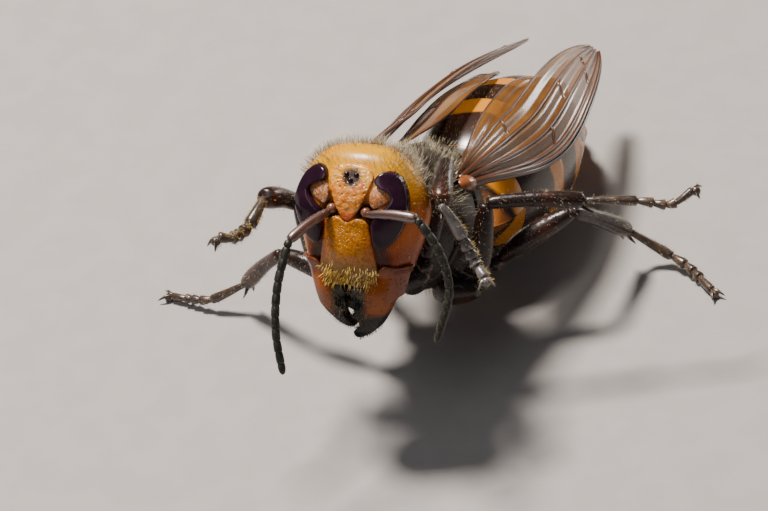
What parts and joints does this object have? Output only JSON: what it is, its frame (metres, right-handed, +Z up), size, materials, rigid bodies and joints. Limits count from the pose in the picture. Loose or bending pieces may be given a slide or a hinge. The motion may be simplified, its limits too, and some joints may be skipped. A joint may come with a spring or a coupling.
{
  "type": "asian giant hornet",
  "caption": "Life-size giant hornet with raised head and forelegs, broad jaws, folded wings and a banded gaster resting on the floor.",
  "frame": {"origin": "middle of the footprint, on the floor", "axes": "+Z up, -Y the way the hornet faces, +X its left side"},
  "size_m": [0.0386, 0.0436, 0.0201],
  "materials": {
    "head": "satin orange shell, yellower on the crown",
    "clypeus": "pitted golden brown shell",
    "mandible": "glossy orange brown, black at the teeth",
    "eye": "glossy purple black",
    "scape": "glossy reddish brown",
    "flagellum": "dull grey brown",
    "thorax": "dark brown shell under short golden grey hair",
    "tegula": "glossy chestnut",
    "gaster": "glossy dark brown with orange bands",
    "gaster_tip": "glossy orange",
    "wing": "smoky amber film with brown veins",
    "leg": "glossy dark brown",
    "foot": "brown with short golden hair"
  },
  "bodies": {
    "root": {"head": "head", "clypeus": "clypeus", "mandible_left": "mandible", "mandible_right": "mandible", "eye_left": "eye", "eye_right": "eye", "scape_left": "scape", "scape_right": "scape", "flagellum_left": "flagellum", "flagellum_right": "flagellum", "prothorax": "thorax", "mesothorax": "thorax", "propodeum": "thorax", "tegula_left": "tegula", "tegula_right": "tegula", "gaster_1": "gaster", "gaster_2": "gaster", "gaster_3": "gaster", "gaster_4": "gaster", "gaster_5": "gaster", "gaster_6": "gaster_tip", "forewing_left": "wing", "forewing_right": "wing", "hindwing_left": "wing", "hindwing_right": "wing", "coxa_fore_left": "leg", "femur_fore_left": "leg", "tibia_fore_left": "leg", "tarsus_fore_left": "foot", "coxa_fore_right": "leg", "femur_fore_right": "leg", "tibia_fore_right": "leg", "tarsus_fore_right": "foot", "coxa_mid_left": "leg", "femur_mid_left": "leg", "tibia_mid_left": "leg", "tarsus_mid_left": "foot", "coxa_mid_right": "leg", "femur_mid_right": "leg", "tibia_mid_right": "leg", "tarsus_mid_right": "foot", "coxa_hind_left": "leg", "femur_hind_left": "leg", "tibia_hind_left": "leg", "tarsus_hind_left": "foot", "coxa_hind_right": "leg", "femur_hind_right": "leg", "tibia_hind_right": "leg", "tarsus_hind_right": "foot"}
  },
  "joints": []
}
